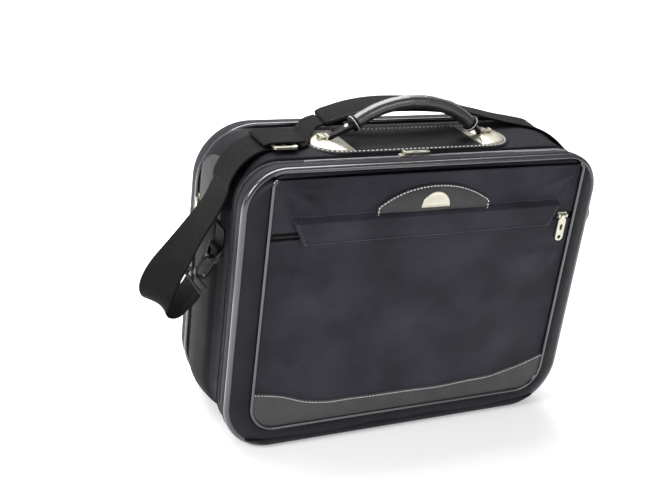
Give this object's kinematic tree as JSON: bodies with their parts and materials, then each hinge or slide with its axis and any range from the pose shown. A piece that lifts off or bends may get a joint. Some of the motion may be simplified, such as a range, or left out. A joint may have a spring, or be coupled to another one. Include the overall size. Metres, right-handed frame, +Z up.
{
  "type": "laptop case",
  "caption": "Soft-sided laptop case with two zipped opening sections, front pocket under a flap, carry handle, and a shoulder strap on side rings.",
  "frame": {"origin": "on the surface the case stands on, midway along its width, close under the handle", "axes": "+X to the right seen from the front, +Y to the rear, +Z up"},
  "size_m": [0.5327, 0.1744, 0.3688],
  "materials": {
    "body_fabric": "tight black nylon, slight sheen",
    "pocket_fabric": "smooth black nylon satin, soft sheen",
    "lining": "matt dark lining",
    "board": "stiffener board",
    "steel": "spring steel",
    "zip_tape": "woven tape with coil",
    "piping": "glossy coated cord",
    "leather": "fine grained black leather, satin",
    "nickel": "warm satin nickel",
    "webbing": "ribbed black webbing",
    "dark_metal": "black coated metal",
    "pad": "padded black nylon"
  },
  "bodies": {
    "case": {"base_panel": "body_fabric", "main_shell": "body_fabric", "divider": "lining", "base_board": "board", "top_board": "board", "front_frame_wire": "steel", "rear_frame_wire": "steel", "front_zip": "zip_tape", "rear_zip": "zip_tape", "handle_patch": "leather", "left_saddle": "nickel", "right_saddle": "nickel", "handle_pins": "steel", "left_ring_tab": "webbing", "right_ring_tab": "webbing", "left_hook": "dark_metal", "right_hook": "dark_metal", "strap_return": "webbing", "strap_left": "webbing", "strap_middle": "webbing", "strap_right": "webbing", "shoulder_pad": "pad"},
    "front_section": {"front_shell": "lining", "front_border": "body_fabric", "pocket_panel": "pocket_fabric", "upper_panel": "pocket_fabric", "upper_border": "body_fabric", "pocket_zip": "zip_tape", "outer_piping": "piping", "inner_piping": "piping", "kick_trim": "leather", "badge_patch": "leather", "badge_plate": "nickel", "flap_seam": "pocket_fabric", "organiser_panel": "lining"},
    "flap": {"storm_flap": "pocket_fabric"},
    "pocket_slider": {"pocket_slider": "nickel"},
    "pocket_pull": {"pocket_pull": "nickel"},
    "rear_section": {"rear_shell": "body_fabric", "rear_piping": "piping", "laptop_pad": "lining", "laptop_strap": "webbing"},
    "handle": {"handle_core": "steel", "handle_grip": "leather", "grip_wraps": "leather", "handle_tabs": "leather", "handle_rivets": "nickel"},
    "front_slider": {"front_slider": "nickel"},
    "front_pull": {"front_pull": "nickel"},
    "rear_slider": {"rear_slider": "nickel"},
    "rear_pull": {"rear_pull": "nickel"},
    "left_ring": {"left_ring": "dark_metal"},
    "right_ring": {"right_ring": "dark_metal"},
    "left_gate": {"left_gate": "dark_metal"},
    "right_gate": {"right_gate": "dark_metal"},
    "adjuster": {"strap_adjuster": "dark_metal"}
  },
  "joints": [
    {"name": "front_section_open", "type": "hinge", "parent": "case", "child": "front_section", "pos_m": [0, -0.086, 0.012], "axis": [1, 0, 0], "range_deg": [0, 60]},
    {"name": "rear_section_open", "type": "hinge", "parent": "case", "child": "rear_section", "pos_m": [0, 0.084, 0.012], "axis": [-1, 0, 0], "range_deg": [0, 50]},
    {"name": "handle_fold", "type": "hinge", "parent": "case", "child": "handle", "pos_m": [0, -0.01, 0.3248], "axis": [1, 0, 0], "range_deg": [0, 45]},
    {"name": "flap_lift", "type": "hinge", "parent": "front_section", "child": "flap", "pos_m": [0, -0.0886, 0.265], "axis": [-1, 0, 0], "range_deg": [0, 90]},
    {"name": "pocket_zip_run", "type": "slide", "parent": "front_section", "child": "pocket_slider", "axis": [1, 0, 0], "range_m": [-0.32, 0]},
    {"name": "pocket_pull_swing", "type": "hinge", "parent": "pocket_slider", "child": "pocket_pull", "pos_m": [0.169, -0.0866, 0.25], "axis": [-1, 0, 0], "range_deg": [0, 100]},
    {"name": "front_zip_run", "type": "slide", "parent": "case", "child": "front_slider", "axis": [1, 0, 0], "range_m": [-0.12, 0.12]},
    {"name": "front_pull_swing", "type": "hinge", "parent": "front_slider", "child": "front_pull", "pos_m": [-0.025, -0.052, 0.3201], "axis": [0, -1, 0], "range_deg": [0, 165]},
    {"name": "rear_zip_run", "type": "slide", "parent": "case", "child": "rear_slider", "axis": [0, 0, 1], "range_m": [-0.17, 0.015]},
    {"name": "rear_pull_swing", "type": "hinge", "parent": "rear_slider", "child": "rear_pull", "pos_m": [-0.2121, 0.046, 0.24], "axis": [0, 1, 0], "range_deg": [0, 80]},
    {"name": "left_ring_swing", "type": "hinge", "parent": "case", "child": "left_ring", "pos_m": [-0.2144, -0.027, 0.216], "axis": [0, 1, 0], "range_deg": [-5, 5]},
    {"name": "right_ring_swing", "type": "hinge", "parent": "case", "child": "right_ring", "pos_m": [0.24, -0.027, 0.222], "axis": [0, 1, 0], "range_deg": [-5, 5]},
    {"name": "left_gate_open", "type": "hinge", "parent": "case", "child": "left_gate", "pos_m": [-0.23266, -0.027, 0.19687], "axis": [0, 1, 0], "range_deg": [0, 20], "stiffness_Nm_per_rad": 0.02, "springref_deg": -11.46},
    {"name": "right_gate_open", "type": "hinge", "parent": "case", "child": "right_gate", "pos_m": [0.24488, -0.027, 0.24855], "axis": [0, 1, 0], "range_deg": [0, 20], "stiffness_Nm_per_rad": 0.02, "springref_deg": -11.46},
    {"name": "adjuster_run", "type": "slide", "parent": "case", "child": "adjuster", "axis": [1, 0, 0], "range_m": [-0.008, 0.008]}
  ]
}
